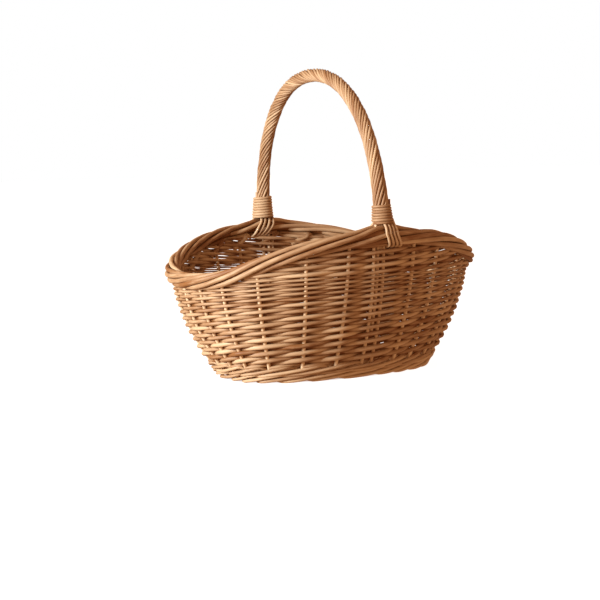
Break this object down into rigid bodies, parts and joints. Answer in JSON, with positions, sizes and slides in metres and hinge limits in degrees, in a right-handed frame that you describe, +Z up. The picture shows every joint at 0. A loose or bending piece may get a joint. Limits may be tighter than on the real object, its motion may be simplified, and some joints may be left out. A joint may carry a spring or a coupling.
{
  "type": "basket",
  "caption": "Oval woven willow market basket with flared sides, a saddle-shaped rolled border and a tall roped bow handle",
  "frame": {"origin": "centre of the foot's underside, on the floor", "axes": "+X along the long axis of the oval, +Y along the short axis from the front handle foot to the rear one, +Z up"},
  "size_m": [0.3368, 0.2654, 0.314],
  "materials": {
    "willow": "peeled willow, satin",
    "stick_willow": "peeled willow, satin"
  },
  "bodies": {
    "root": {"base_long_sticks": "stick_willow", "base_cross_sticks": "stick_willow", "base_weave": "willow", "foot_wale": "willow", "upsett_wale": "willow", "weave_course_1": "willow", "weave_course_2": "willow", "weave_course_3": "willow", "weave_course_4": "willow", "weave_course_5": "willow", "weave_course_6": "willow", "weave_course_7": "willow", "weave_course_8": "willow", "side_stakes": "stick_willow", "handle_liners": "stick_willow", "border_rods": "willow", "handle_bow": "stick_willow", "roping_rods_1": "willow", "roping_rods_2": "willow", "roping_rods_3": "willow", "front_binding": "willow", "rear_binding": "willow", "front_tie_rods": "willow", "rear_tie_rods": "willow"}
  },
  "joints": []
}
